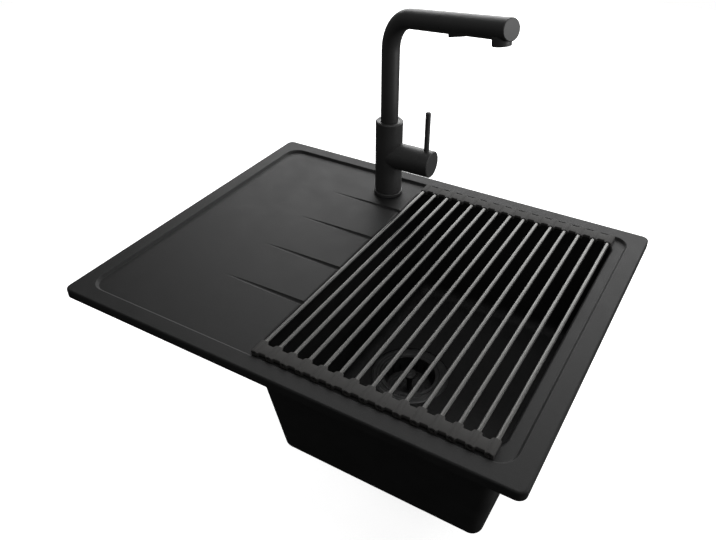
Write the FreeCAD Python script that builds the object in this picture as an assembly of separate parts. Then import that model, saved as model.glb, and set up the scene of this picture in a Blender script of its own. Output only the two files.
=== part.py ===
import FreeCAD, Part
import math
import os

# Workstation kitchen sink: a composite sink with drainer, a single-lever tap with a pull-out spray
# head, a basket waste and a roll-up mat over the bowl. Millimetres, +Z up, +X to the right, +Y to the
# back. The origin is the centre of the deck in plan, on the worktop that the rim rests on.

V = FreeCAD.Vector
ORIGIN = V(0, 0, 0)
X_AXIS = V(1, 0, 0)
Y_AXIS = V(0, 1, 0)
Z_AXIS = V(0, 0, 1)

# ---- sink: deck, rim, recess and bowl ----
DECK_LENGTH = 620.0
DECK_DEPTH = 500.0
DECK_CORNER = 10.0
RIM_HEIGHT = 12.0
RIM_WIDTH = 22.0
EDGE_ROUND = 2.5
RECESS_DROP = 3.5
RECESS_SLOPE = 3.0
RECESS_CORNER = 22.0
BOWL_LENGTH = 300.0
BOWL_SIDE_LEDGE = 40.0
BOWL_END_LEDGE = 39.0
BOWL_DEPTH = 173.0
BOWL_DRAFT_DEG = 7.0
BOWL_CORNER = 20.0
BOWL_FLOOR_ROUND = 16.0
BOWL_OUTER_CORNER = 14.0
BOWL_OUTER_ROUND = 13.0
BOWL_LIP_ROUND = 4.0
WALL = 8.0
SEAT_STRIP = 18.0
UNDER_RELIEF = 1.5
GROOVE_COUNT = 4
GROOVE_PITCH = 85.0
GROOVE_MID_Y = 11.0
GROOVE_LENGTH = 125.0
GROOVE_DEPTH = 2.4
GROOVE_RADIUS = 5.0

RECESS_Z = RIM_HEIGHT - RECESS_DROP
FLOOR_Z = RIM_HEIGHT - BOWL_DEPTH
FLOOR_UNDER_Z = FLOOR_Z - WALL
BOWL_WIDTH = DECK_DEPTH - 2 * BOWL_END_LEDGE
BOWL_OFFSET_X = DECK_LENGTH / 2 - BOWL_SIDE_LEDGE - BOWL_LENGTH / 2
BOWL_LEFT = BOWL_OFFSET_X - BOWL_LENGTH / 2

# ---- waste ----
WASTE_FROM_BOWL_SIDE = 98.0
WASTE_Y = -4.0
WASTE_HOLE_R = 45.0
FLANGE_R = 56.0
FLANGE_THICK = 1.6
CUP_R = 40.5
CUP_DEPTH = 34.0
CUP_SEAT_WIDTH = 2.5
CUP_SEAT_DROP = 1.2
CUP_WALL = 1.2
CUP_HOLE_RING_R = 26.0
CUP_HOLE_R = 6.0
CUP_HOLES = 8
SEAL_THICK = 1.0
LOWER_SEAL_THICK = 3.0
POT_RIM_R = 58.0
POT_R = 49.0
POT_WALL = 2.5
POT_RIM_THICK = 4.0
POT_HEIGHT = 52.0
OUTLET_R = 23.9
OUTLET_WALL = 3.0
OUTLET_SHOULDER = 1.5
OUTLET_LENGTH = 28.0
WASTE_BOLT_R = 4.0
WASTE_BOLT_HEAD_R = 9.0
WASTE_BOLT_HEAD = 4.0
SPOKE_WIDTH = 5.0
SPOKE_HEIGHT = 8.0
BOSS_R = 8.0
BOSS_HEIGHT = 12.0
BASKET_R = 38.0
BASKET_LIP_CLEARANCE = 0.4
BASKET_DEPTH = 27.0
BASKET_WALL = 1.0
BASKET_SLOTS = 18
BASKET_SLOT_WIDTH = 2.4
BASKET_SLOT_HEIGHT = 12.0
BASKET_HOLES = 14
BASKET_HOLE_RING_R = 24.0
BASKET_HOLE_R = 2.4
KNOB_STEM_R = 4.0
KNOB_R = 10.0
KNOB_THICK = 6.0
KNOB_TOP = 4.0
STOPPER_R = 33.5
STOPPER_RELIEF = 0.5

WASTE_X = BOWL_LEFT + WASTE_FROM_BOWL_SIDE
CUP_FLOOR_Z = FLOOR_Z - CUP_DEPTH

# ---- tap: base and body ----
TAP_FROM_BOWL = 45.0
TAP_FROM_BACK = 67.0
TAP_HOLE_R = 17.5
BASE_RING_R = 22.0
BASE_RING_HEIGHT = 5.0
BASE_SEAL_THICK = 1.0
SHANK_R = 16.4
SHANK_BORE_R = 14.0
SHANK_IN_BODY = 8.0
SHANK_BELOW = 42.0
WASHER_R = 25.0
RUBBER_THICK = 3.0
STEEL_THICK = 2.0
NUT_R = 23.0
NUT_HEIGHT = 9.0
BODY_R = 20.4
BODY_TOP_Z = 128.5
BODY_CHAMFER = 1.6
BODY_FOOT_GROOVE = 1.0
HOSE_PASSAGE_R = 6.2
HOSE_PASSAGE_X = -6.5
INLET_X = 3.5
INLET_Y = 9.0
INLET_R = 4.0
INLET_DEPTH = 12.0
INLET_BORE_R = 3.0
OUTLET_PORT_X = 9.6
CROSS_DRILL_R = 2.2
CROSS_Y = 6.2
CROSS_DROP = 3.0
CROSS_RISE = 6.0

TAP_X = BOWL_LEFT - TAP_FROM_BOWL
TAP_Y = DECK_DEPTH / 2 - TAP_FROM_BACK
SEAT_Z = RECESS_Z + BASE_SEAL_THICK + BASE_RING_HEIGHT

# ---- tap: spout ----
TUBE_R = 13.0
TUBE_WALL = 1.5
BEND_R = 54.0
ARM_RISE_DEG = 10.0
ARM_AZIMUTH_DEG = -25.5
ARM_Z = 277.8
ARM_LENGTH = 229.5
HEAD_LENGTH = 113.6
SEAM_GAP = 0.4
BUSH_R = 16.0
BUSH_LENGTH = 31.0
BUSH_TOP_GAP = 0.5
RUNNING_FIT = 0.06
FOOT_BELOW_BUSH = 4.5
FOOT_LENGTH = 26.0
FOOT_BORE_R = 8.5
RING_MINOR_R = 1.02
RING_SEAT_GAP = 0.02
CUT_OVER = 1.0
RING_GROOVE = 2.3
RING_PITCH = 8.0
CLIP_R = 15.0
CLIP_THICK = 1.6
CLIP_DEPTH = 0.9
CLIP_GAP = 0.3
DOCK_LENGTH = 18.0

# ---- tap: spray head ----
HEAD_WALL = 1.7
HEAD_CAP = 2.5
HEAD_CHAMFER = 0.8
SPIGOT_R = 9.8
SPIGOT_LENGTH = 14.0
SPIGOT_FLANGE = 3.0
WATERWAY_R = 3.5
HOSE_R = 5.25
HOSE_FITTING_R = 7.8
HOSE_FITTING_LENGTH = 9.0
NOZZLE_R = 11.4
NOZZLE_FROM_END = 16.5
NOZZLE_DROP = 18.6
NOZZLE_INSIDE = 7.0
SPRAY_FACE_R = 9.0
SPRAY_FACE_THICK = 3.0
SPRAY_FACE_INSET = 0.6
SPRAY_HOLES = 10
SPRAY_HOLE_R = 0.7
BUTTON_FROM_SEAM = 9.5
BUTTON_LENGTH = 30.0
BUTTON_WIDTH = 11.0
BUTTON_PROUD = 3.0
BUTTON_LIP = 2.5
BUTTON_THICK = 3.0
BUTTON_GAP = 0.5

SEAM_T = ARM_LENGTH - HEAD_LENGTH - SEAM_GAP

# ---- tap: side valve and lever (t runs along +X from the tap's axis) ----
VALVE_Z = 74.4
BARREL_R = 20.0
BARREL_END = 52.0
VALVE_PIVOT = 40.0
VALVE_SEAT = 22.0
CARTRIDGE_R = 12.5
CARTRIDGE_SHOULDER = 36.0
CARTRIDGE_NECK_R = 10.2
CARTRIDGE_END = 41.5
CARTRIDGE_BASE = 2.0
CHAMBER_R = 11.0
CHAMBER_DEPTH = 7.4
DISC_THICK = 3.0
FIXED_DISC_R = 10.9
MOVING_DISC_R = 7.1
MOVING_DISC_THICK = 4.0
PORT_R = 2.2
PORT_RING_R = 5.0
GUIDE_R = 8.4
GUIDE_SLOT_ROOM = 5.0
FIT_GAP = 0.1
PIVOT_PIN_R = 1.5
STEM_R = 4.0
STEM_END = 68.0
STEM_TIP_R = 2.0
STEM_TIP_REACH = 10.7
TIP_POCKET_R = 3.2
TIP_POCKET_DEPTH = 2.4
NUT_THREAD_R = 15.9
NUT_START = 34.0
DOME_FLANGE = 2.0
DOME_WALL = 2.7
DOME_GAP = 0.3
DOME_WINDOW_R = 10.7
DOME_WINDOW_DROP = 3.6
HUB_END = 73.0
HUB_CHAMFER = 1.0
ROD_T = 62.5
LEVER_ROD_R = 3.9
LEVER_ROD_LENGTH = 60.0
LEVER_ROD_SINK = 1.5
LEVER_SPIGOT_R = 2.0
LEVER_SPIGOT_LENGTH = 4.0
GRUB_R = 1.6
GRUB_T = 65.8

# ---- roll-up mat ----
MAT_RODS = 15
MAT_FLAT_RODS = 5
MAT_SIDE_GAP = 2.2
ROD_R = 2.75
ROD_INSET = 3.0
GRIP_HEIGHT = 8.0
GRIP_WIDTH = 22.0
GRIP_LENGTH = 10.0
GRIP_SHOULDER = 5.5
WEB_THICK = 3.0
WEB_TOP = 5.0
WEB_INSET_OUTER = 2.5
WEB_INSET_INNER = 4.0
MAT_END_GAP = 1.0
ROLL_GAP = 0.05

MAT_HALF = DECK_DEPTH / 2 - RIM_WIDTH - RECESS_SLOPE - MAT_END_GAP
ROD_PITCH = (BOWL_LENGTH - 2 * MAT_SIDE_GAP - GRIP_LENGTH) / (MAT_RODS - 1)


# ---------------------------------------------------------------- shared shapes

def tube(outer_r, inner_r, bottom, top):
    """Upright ring on the Z axis."""
    ring = Part.makeCylinder(outer_r, top - bottom, V(0, 0, bottom))
    bore = Part.makeCylinder(inner_r, top - bottom, V(0, 0, bottom))
    return ring.cut(bore)


def revolve_profile(points, axis):
    """Solid of revolution of a closed outline of (distance along the axis, radius) points."""
    if axis == "Z":
        corners = [V(r, 0, a) for a, r in points]
        direction = Z_AXIS
    else:
        corners = [V(a, 0, r) for a, r in points]
        direction = X_AXIS
    outline = Part.makePolygon(corners + corners[:1])
    return Part.Face(outline).revolve(ORIGIN, direction, 360)


def rounded_rectangle(length, width, radius, z):
    """Closed outline with round corners, centred on the Z axis."""
    corner = min(radius, length / 2 - 0.5, width / 2 - 0.5)
    half_x = length / 2
    half_y = width / 2
    bow = corner * (1 - math.sqrt(0.5))
    edges = []
    signs = [(1, -1), (1, 1), (-1, 1), (-1, -1)]
    ends = []
    for sx, sy in signs:
        beside_x = V(sx * half_x, sy * (half_y - corner), z)
        beside_y = V(sx * (half_x - corner), sy * half_y, z)
        middle = V(sx * (half_x - bow), sy * (half_y - bow), z)
        if sx * sy < 0:
            ends.append((beside_y, middle, beside_x))
        else:
            ends.append((beside_x, middle, beside_y))
    for i, (start, middle, end) in enumerate(ends):
        edges.append(Part.Arc(start, middle, end).toShape())
        following = ends[(i + 1) % len(ends)][0]
        edges.append(Part.LineSegment(end, following).toShape())
    return Part.Wire(edges)


def tapered_block(top, bottom):
    """Solid between two outlines given as (length, width, corner radius, z)."""
    return Part.makeLoft([rounded_rectangle(*top), rounded_rectangle(*bottom)], True, True)


def edges_at(shape, z, tolerance=1e-4):
    """Edges that lie in the plane at height z."""
    found = []
    for edge in shape.Edges:
        box = edge.BoundBox
        if abs(box.ZMin - z) < tolerance and abs(box.ZMax - z) < tolerance:
            found.append(edge)
    return found


def ring_of(shape, count, first=0.0):
    """Copies of a shape, evenly spaced round the Z axis."""
    copies = []
    for i in range(count):
        copy = shape.copy()
        copy.rotate(ORIGIN, Z_AXIS, first + 360.0 * i / count)
        copies.append(copy)
    return Part.makeCompound(copies)


def moved(shape, x, y, z):
    """Copy of a shape, moved."""
    copy = shape.copy()
    copy.translate(V(x, y, z))
    return copy


def export(name, shape):
    """Write one sub-part."""
    shape.exportStep("parts/" + name + ".step")


# ---------------------------------------------------------------- sink

def bowl_outline(grow, corner, z):
    """Bowl outline at height z, grown outwards for the outer face. The walls slope inwards."""
    shrink = 2 * (RECESS_Z - z) * math.tan(math.radians(BOWL_DRAFT_DEG))
    return (BOWL_LENGTH + 2 * grow - shrink, BOWL_WIDTH + 2 * grow - shrink, corner, z)


def bowl_space():
    """The hollow of the bowl, with rounded floor edges."""
    block = tapered_block(bowl_outline(0, BOWL_CORNER, RECESS_Z),
                          bowl_outline(0, BOWL_CORNER, FLOOR_Z))
    block = block.makeFillet(BOWL_FLOOR_ROUND, edges_at(block, FLOOR_Z))
    return moved(block, BOWL_OFFSET_X, 0, 0)


def bowl_outside():
    """The outer form of the bowl, from the deck's underside to the floor's underside."""
    block = tapered_block(bowl_outline(WALL, BOWL_OUTER_CORNER, UNDER_RELIEF),
                          bowl_outline(WALL, BOWL_OUTER_CORNER, FLOOR_UNDER_Z))
    block = block.makeFillet(BOWL_OUTER_ROUND, edges_at(block, FLOOR_UNDER_Z))
    return moved(block, BOWL_OFFSET_X, 0, 0)


def deck_plate():
    """The deck with its rounded edge, the lowered surface inside the rim and, underneath, the
    flat strip that sits on the worktop."""
    plate = tapered_block((DECK_LENGTH, DECK_DEPTH, DECK_CORNER, RIM_HEIGHT),
                          (DECK_LENGTH, DECK_DEPTH, DECK_CORNER, 0))
    plate = plate.makeFillet(EDGE_ROUND, edges_at(plate, RIM_HEIGHT))
    length = DECK_LENGTH - 2 * RIM_WIDTH
    depth = DECK_DEPTH - 2 * RIM_WIDTH
    recess = tapered_block((length, depth, RECESS_CORNER, RIM_HEIGHT),
                           (length - 2 * RECESS_SLOPE, depth - 2 * RECESS_SLOPE,
                            RECESS_CORNER - RECESS_SLOPE, RECESS_Z))
    plate = plate.cut(recess)
    plate = plate.makeFillet(RECESS_DROP / 2, edges_at_recess(plate))
    relief_length = DECK_LENGTH - 2 * SEAT_STRIP
    relief_depth = DECK_DEPTH - 2 * SEAT_STRIP
    relief = tapered_block((relief_length, relief_depth, DECK_CORNER, UNDER_RELIEF),
                           (relief_length, relief_depth, DECK_CORNER, 0))
    return plate.cut(relief)


def edges_at_recess(plate):
    """The upper and lower edge of the slope between rim and recess."""
    half_length = DECK_LENGTH / 2 - EDGE_ROUND - 1
    upper = [e for e in edges_at(plate, RIM_HEIGHT)
             if e.BoundBox.XMax < half_length and e.BoundBox.XMin > -half_length
             and abs(e.BoundBox.YMax) < DECK_DEPTH / 2 - EDGE_ROUND - 1
             and abs(e.BoundBox.YMin) < DECK_DEPTH / 2 - EDGE_ROUND - 1]
    return upper + edges_at(plate, RECESS_Z)


def drainer_grooves():
    """Round-bottomed grooves that deepen towards the bowl and fade out on the drainer."""
    grooves = []
    tilt = math.degrees(math.atan2(GROOVE_DEPTH, GROOVE_LENGTH))
    overrun = BOWL_LIP_ROUND * 2
    for i in range(GROOVE_COUNT):
        y = GROOVE_MID_Y + (i - (GROOVE_COUNT - 1) / 2) * GROOVE_PITCH
        groove = Part.makeCylinder(GROOVE_RADIUS, GROOVE_LENGTH + overrun, ORIGIN, X_AXIS)
        groove.rotate(ORIGIN, Y_AXIS, tilt)
        groove.translate(V(BOWL_LEFT - GROOVE_LENGTH, y, RECESS_Z + GROOVE_RADIUS))
        grooves.append(groove)
    return Part.makeCompound(grooves)


def sink_body():
    """The composite moulding: deck, bowl, grooves, tap hole and waste hole."""
    body = deck_plate().fuse(bowl_outside()).cut(bowl_space())
    lip = [e for e in edges_at(body, RECESS_Z) if on_bowl_lip(e)]
    body = body.makeFillet(BOWL_LIP_ROUND, lip)
    body = body.cut(drainer_grooves())
    tap_hole = Part.makeCylinder(TAP_HOLE_R, RIM_HEIGHT * 2, V(TAP_X, TAP_Y, -RIM_HEIGHT / 2))
    seat_depth = FLANGE_THICK + SEAL_THICK
    waste_hole = Part.makeCylinder(WASTE_HOLE_R, WALL * 3, V(WASTE_X, WASTE_Y, FLOOR_Z - 2 * WALL))
    seat = Part.makeCylinder(FLANGE_R + FIT_GAP * 5, seat_depth + WALL,
                             V(WASTE_X, WASTE_Y, FLOOR_Z - seat_depth))
    return body.cut(tap_hole).cut(waste_hole).cut(seat)


def on_bowl_lip(edge):
    """True for an edge on the outline of the bowl's opening."""
    box = edge.BoundBox
    inside_x = box.XMin > BOWL_LEFT - 0.01 and box.XMax < BOWL_LEFT + BOWL_LENGTH + 0.01
    return inside_x and box.YMin > -BOWL_WIDTH / 2 - 0.01 and box.YMax < BOWL_WIDTH / 2 + 0.01


# ---------------------------------------------------------------- waste

def at_waste(shape):
    """Move a shape made on the Z axis to the waste hole."""
    return moved(shape, WASTE_X, WASTE_Y, 0)


def waste_flange():
    """Pressed steel flange with the cup that the basket drops into."""
    top = FLOOR_Z
    seat = top - CUP_SEAT_DROP
    seat_r = CUP_R + CUP_SEAT_WIDTH
    points = [(top - FLANGE_THICK, FLANGE_R), (top - FLANGE_THICK / 2, FLANGE_R),
              (top, FLANGE_R - FLANGE_THICK), (top, seat_r + CUP_SEAT_DROP / 2),
              (top - CUP_SEAT_DROP / 2, seat_r), (seat, seat_r), (seat, CUP_R), (CUP_FLOOR_Z, CUP_R),
              (CUP_FLOOR_Z, WASTE_BOLT_R + FIT_GAP), (CUP_FLOOR_Z - CUP_WALL, WASTE_BOLT_R + FIT_GAP),
              (CUP_FLOOR_Z - CUP_WALL, CUP_R + CUP_WALL), (seat - CUP_WALL, CUP_R + CUP_WALL),
              (seat - CUP_WALL, seat_r + CUP_WALL), (top - FLANGE_THICK, seat_r + CUP_WALL)]
    cup = revolve_profile(points, "Z")
    hole = Part.makeCylinder(CUP_HOLE_R, CUP_WALL * 3,
                             V(CUP_HOLE_RING_R, 0, CUP_FLOOR_Z - CUP_WALL * 2))
    return at_waste(cup.cut(ring_of(hole, CUP_HOLES)))


def waste_seals():
    """Flat ring under the flange and the thicker ring between the floor and the pot."""
    upper_bottom = FLOOR_Z - FLANGE_THICK - SEAL_THICK
    upper = tube(FLANGE_R, WASTE_HOLE_R + 1, upper_bottom, upper_bottom + SEAL_THICK)
    lower = tube(POT_RIM_R, WASTE_HOLE_R + 1, FLOOR_UNDER_Z - LOWER_SEAL_THICK, FLOOR_UNDER_Z)
    return at_waste(Part.makeCompound([upper, lower]))


def waste_pot():
    """Moulded pot with a rim and a spoked boss for the bolt, and the funnel with the outlet pipe
    that is welded under it."""
    top = FLOOR_UNDER_Z - LOWER_SEAL_THICK
    bottom = top - POT_HEIGHT
    slope = (POT_R - OUTLET_R) / 2
    weld = bottom + slope
    wall = [(top, POT_R - POT_WALL), (top, POT_RIM_R), (top - POT_RIM_THICK, POT_RIM_R),
            (top - POT_RIM_THICK, POT_R), (weld, POT_R), (weld, POT_R - POT_WALL)]
    funnel = [(weld, POT_R - POT_WALL), (weld, POT_R), (bottom, OUTLET_R + OUTLET_SHOULDER),
              (bottom - OUTLET_SHOULDER, OUTLET_R), (bottom - OUTLET_LENGTH, OUTLET_R),
              (bottom - OUTLET_LENGTH, OUTLET_R - OUTLET_WALL), (bottom, OUTLET_R - OUTLET_WALL)]
    boss_top = CUP_FLOOR_Z - CUP_WALL
    spoke = Part.makeBox(POT_R - POT_WALL / 2, SPOKE_WIDTH, SPOKE_HEIGHT,
                         V(0, -SPOKE_WIDTH / 2, boss_top - SPOKE_HEIGHT))
    boss = Part.makeCylinder(BOSS_R, BOSS_HEIGHT, V(0, 0, boss_top - BOSS_HEIGHT))
    pot = revolve_profile(wall, "Z").fuse([boss] + ring_of(spoke, 3).Solids)
    bolt_hole = Part.makeCylinder(WASTE_BOLT_R, BOSS_HEIGHT * 2, V(0, 0, boss_top - BOSS_HEIGHT * 1.5))
    pot = pot.cut(bolt_hole).removeSplitter()
    return at_waste(Part.makeCompound([pot, revolve_profile(funnel, "Z")]))


def waste_bolt():
    """Bolt that clamps the flange, the floor and the pot together."""
    length = CUP_WALL + BOSS_HEIGHT
    shank = Part.makeCylinder(WASTE_BOLT_R, length, V(0, 0, CUP_FLOOR_Z - length))
    head = Part.makeCylinder(WASTE_BOLT_HEAD_R, WASTE_BOLT_HEAD, V(0, 0, CUP_FLOOR_Z))
    head = head.makeFillet(WASTE_BOLT_HEAD / 2, edges_at(head, CUP_FLOOR_Z + WASTE_BOLT_HEAD))
    return at_waste(shank.fuse(head).removeSplitter())


def basket_floor_z():
    """Underside of the basket's floor, above the stopper."""
    return FLOOR_Z - CUP_SEAT_DROP - BASKET_DEPTH


def basket():
    """Perforated strainer basket with its lifting knob."""
    seat = FLOOR_Z - CUP_SEAT_DROP
    lip_r = CUP_R + CUP_SEAT_WIDTH - BASKET_LIP_CLEARANCE
    bottom = basket_floor_z()
    taper = 2.0
    points = [(seat + BASKET_WALL, BASKET_R - BASKET_WALL), (seat + BASKET_WALL, lip_r),
              (seat, lip_r), (seat, BASKET_R),
              (bottom + taper, BASKET_R - taper), (bottom, BASKET_R - 2 * taper),
              (bottom, 0), (bottom + BASKET_WALL, 0),
              (bottom + BASKET_WALL, BASKET_R - 2 * taper - BASKET_WALL / 2),
              (bottom + taper + BASKET_WALL / 2, BASKET_R - taper - BASKET_WALL)]
    cup = revolve_profile(points, "Z")
    slot = Part.makeBox(BASKET_R, BASKET_SLOT_WIDTH, BASKET_SLOT_HEIGHT,
                        V(BASKET_R / 2, -BASKET_SLOT_WIDTH / 2, bottom + 2.5 * taper))
    hole = Part.makeCylinder(BASKET_HOLE_R, BASKET_WALL * 3,
                             V(BASKET_HOLE_RING_R, 0, bottom - BASKET_WALL))
    cup = cup.cut(ring_of(slot, BASKET_SLOTS)).cut(ring_of(hole, BASKET_HOLES))
    cup = cup.cut(ring_of(moved(hole, -BASKET_HOLE_RING_R / 2.4, 0, 0), BASKET_HOLES // 2))
    knob_top = FLOOR_Z + KNOB_TOP
    knob = [(bottom, 0), (bottom, KNOB_STEM_R), (knob_top - KNOB_THICK, KNOB_STEM_R),
            (knob_top - KNOB_THICK, KNOB_R - 1.5), (knob_top - KNOB_THICK + 1.5, KNOB_R),
            (knob_top - 1.5, KNOB_R), (knob_top, KNOB_R - 1.5), (knob_top, 0)]
    return at_waste(cup.fuse(revolve_profile(knob, "Z")).removeSplitter())


def basket_stopper():
    """Rubber disc under the basket that closes the cup's holes."""
    thick = basket_floor_z() - CUP_FLOOR_Z
    disc = Part.makeCylinder(STOPPER_R, thick, V(0, 0, CUP_FLOOR_Z))
    disc = disc.makeChamfer(thick / 4, edges_at(disc, CUP_FLOOR_Z))
    relief = Part.makeCylinder(WASTE_BOLT_HEAD_R + STOPPER_RELIEF * 2,
                               WASTE_BOLT_HEAD + STOPPER_RELIEF, V(0, 0, CUP_FLOOR_Z))
    return at_waste(disc.cut(relief))


# ---------------------------------------------------------------- tap base and body

def at_tap(shape):
    """Move a shape made on the Z axis to the tap hole."""
    return moved(shape, TAP_X, TAP_Y, 0)


def at_valve(shape):
    """Move a shape made on the X axis to the side valve's axis."""
    return moved(shape, TAP_X, TAP_Y, VALVE_Z)


def tap_base_seal():
    """Rubber ring between the base ring and the deck."""
    return at_tap(tube(BASE_RING_R - 0.8, TAP_HOLE_R, RECESS_Z, RECESS_Z + BASE_SEAL_THICK))


def tap_base_ring():
    """Base ring that covers the tap hole."""
    bottom = RECESS_Z + BASE_SEAL_THICK
    ring = tube(BASE_RING_R, SHANK_R + FIT_GAP, bottom, SEAT_Z)
    outer_top = [e for e in edges_at(ring, SEAT_Z) if e.BoundBox.XMax > BASE_RING_R - 0.01]
    return at_tap(ring.makeFillet(BASE_RING_HEIGHT * 0.3, outer_top))


def tap_shank():
    """Threaded tube that is screwed into the body and clamps it through the tap hole."""
    shank = tube(SHANK_R, SHANK_BORE_R, UNDER_RELIEF - SHANK_BELOW, SEAT_Z + SHANK_IN_BODY)
    return at_tap(shank)


def horseshoe(thick, top):
    """Washer with a slot to one side, so that it goes on round the hoses."""
    washer = tube(WASHER_R, SHANK_R + FIT_GAP * 3, top - thick, top)
    slot = Part.makeBox(WASHER_R * 1.2, SHANK_R * 1.1, thick, V(0, -SHANK_R * 0.55, top - thick))
    return at_tap(washer.cut(slot))


def shank_nut():
    """Six-sided nut on the shank."""
    top = UNDER_RELIEF - RUBBER_THICK - STEEL_THICK
    corners = []
    for i in range(7):
        angle = math.radians(60 * i)
        corners.append(V(NUT_R * math.cos(angle), NUT_R * math.sin(angle), top - NUT_HEIGHT))
    prism = Part.Face(Part.makePolygon(corners)).extrude(V(0, 0, NUT_HEIGHT))
    bore = Part.makeCylinder(SHANK_R, NUT_HEIGHT, V(0, 0, top - NUT_HEIGHT))
    return at_tap(prism.cut(bore))


def tap_body():
    """Upright body with the side barrel, the swivel seat, the ports and the cartridge seat."""
    upright = Part.makeCylinder(BODY_R, BODY_TOP_Z - SEAT_Z, V(0, 0, SEAT_Z))
    upright = upright.makeChamfer(BODY_CHAMFER, edges_at(upright, BODY_TOP_Z))
    upright = upright.makeChamfer(BODY_FOOT_GROOVE, edges_at(upright, SEAT_Z))
    barrel = Part.makeCylinder(BARREL_R, BARREL_END, V(0, 0, VALVE_Z), X_AXIS)
    body = upright.fuse(barrel)
    swivel_bottom = BODY_TOP_Z - BUSH_TOP_GAP - BUSH_LENGTH - FOOT_BELOW_BUSH - 2
    cavity = Part.makeCylinder(BUSH_R, BODY_TOP_Z - swivel_bottom, V(0, 0, swivel_bottom))
    passage = Part.makeCylinder(HOSE_PASSAGE_R, BODY_TOP_Z, V(HOSE_PASSAGE_X, 0, 0))
    shank_thread = Part.makeCylinder(SHANK_R, SHANK_IN_BODY, V(0, 0, SEAT_Z))
    cartridge_seat = Part.makeCylinder(CARTRIDGE_R + FIT_GAP, BARREL_END, V(VALVE_SEAT, 0, VALVE_Z), X_AXIS)
    nut_thread = Part.makeCylinder(NUT_THREAD_R + FIT_GAP, BARREL_END, V(NUT_START, 0, VALVE_Z), X_AXIS)
    cuts = [cavity, passage, shank_thread, cartridge_seat, nut_thread]
    port_floor = SEAT_Z + SHANK_IN_BODY
    cross_z = VALVE_Z - CROSS_DROP
    for side in (-1, 1):
        cuts.append(Part.makeCylinder(INLET_R, INLET_DEPTH, V(INLET_X, side * INLET_Y, port_floor)))
        cuts.append(Part.makeCylinder(INLET_BORE_R, cross_z + CROSS_DRILL_R - port_floor,
                                      V(INLET_X, side * INLET_Y, port_floor)))
        cuts.append(Part.makeCylinder(CROSS_DRILL_R, VALVE_SEAT - INLET_X,
                                      V(INLET_X, side * CROSS_Y, cross_z), X_AXIS))
    outlet_top = VALVE_Z + CROSS_RISE
    cuts.append(Part.makeCylinder(INLET_R, INLET_DEPTH, V(OUTLET_PORT_X, 0, port_floor)))
    cuts.append(Part.makeCylinder(INLET_BORE_R, outlet_top + CROSS_DRILL_R - port_floor,
                                  V(OUTLET_PORT_X, 0, port_floor)))
    cuts.append(Part.makeCylinder(CROSS_DRILL_R, VALVE_SEAT - OUTLET_PORT_X,
                                  V(OUTLET_PORT_X, 0, outlet_top), X_AXIS))
    return at_tap(body.cut(cuts).removeSplitter())


# ---------------------------------------------------------------- spout

def in_arm(shape):
    """Place a shape made along +X from the tap's axis into the raised and turned arm."""
    placed = shape.copy()
    placed.rotate(ORIGIN, Y_AXIS, -ARM_RISE_DEG)
    placed.rotate(ORIGIN, Z_AXIS, ARM_AZIMUTH_DEG)
    placed.translate(V(TAP_X, TAP_Y, ARM_Z))
    return placed


def bend_tangent():
    """Length that the bend takes off the upright and off the arm."""
    return BEND_R * math.tan(math.radians(90 - ARM_RISE_DEG) / 2)


def spout_path_solid(radius, bottom, arm_end):
    """Round bar that follows the upright, the bend and the arm, in the plane of X and Z."""
    tangent = bend_tangent()
    bend_z = ARM_Z - tangent
    upright = Part.makeCylinder(radius, bend_z - bottom, V(0, 0, bottom))
    section = Part.Face(Part.Wire(Part.makeCircle(radius, V(0, 0, bend_z), Z_AXIS)))
    bend = section.revolve(V(BEND_R, 0, bend_z), Y_AXIS, 90 - ARM_RISE_DEG)
    arm = Part.makeCylinder(radius, arm_end - tangent, V(tangent, 0, 0), X_AXIS)
    arm.rotate(ORIGIN, Y_AXIS, -ARM_RISE_DEG)
    arm.translate(V(0, 0, ARM_Z))
    return upright.fuse([bend, arm])


def spout_foot_z():
    """Lower end of the spout tube, in the body."""
    return BODY_TOP_Z - BUSH_TOP_GAP - BUSH_LENGTH - FOOT_BELOW_BUSH


def ring_heights():
    """Middle heights of the two O-rings in the swivel."""
    first = spout_foot_z() + FOOT_BELOW_BUSH + RING_PITCH
    return [first, first + RING_PITCH]


def clip_bottom():
    """Lower face of the retaining clip, close under the bush."""
    return spout_foot_z() + FOOT_BELOW_BUSH - CLIP_GAP - CLIP_THICK


def spout_tube():
    """Bent spout tube with its thicker foot, grooved for the O-rings and the clip."""
    bottom = spout_foot_z()
    outside = spout_path_solid(TUBE_R, bottom, SEAM_T)
    inside = spout_path_solid(TUBE_R - TUBE_WALL, bottom, SEAM_T)
    spout = outside.cut(inside)
    foot = tube(TUBE_R, FOOT_BORE_R, bottom, bottom + FOOT_LENGTH)
    spout = spout.fuse(foot)
    for z in ring_heights():
        depth_r = TUBE_R - 2 * RING_MINOR_R + RING_SEAT_GAP
        spout = spout.cut(tube(TUBE_R + CUT_OVER, depth_r, z - RING_GROOVE / 2, z + RING_GROOVE / 2))
    clip = clip_bottom()
    spout = spout.cut(tube(TUBE_R + CUT_OVER, TUBE_R - CLIP_DEPTH, clip, clip + CLIP_THICK))
    spout.rotate(ORIGIN, Z_AXIS, ARM_AZIMUTH_DEG)
    return at_tap(spout.removeSplitter())


def swivel_o_rings():
    """Two O-rings in the foot of the spout."""
    rings = []
    for z in ring_heights():
        rings.append(Part.makeTorus(TUBE_R + RUNNING_FIT / 2 - RING_MINOR_R, RING_MINOR_R, V(0, 0, z)))
    return at_tap(Part.makeCompound(rings))


def spout_clip():
    """Open ring in the foot's groove, under the bush, that keeps the spout from lifting out."""
    bottom = clip_bottom()
    ring = tube(CLIP_R, TUBE_R - CLIP_DEPTH, bottom, bottom + CLIP_THICK)
    opening = Part.makeBox(CLIP_R * 1.1, CLIP_R * 0.5, CLIP_THICK, V(-CLIP_R * 1.1, -CLIP_R / 4, bottom))
    return at_tap(ring.cut(opening))


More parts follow.
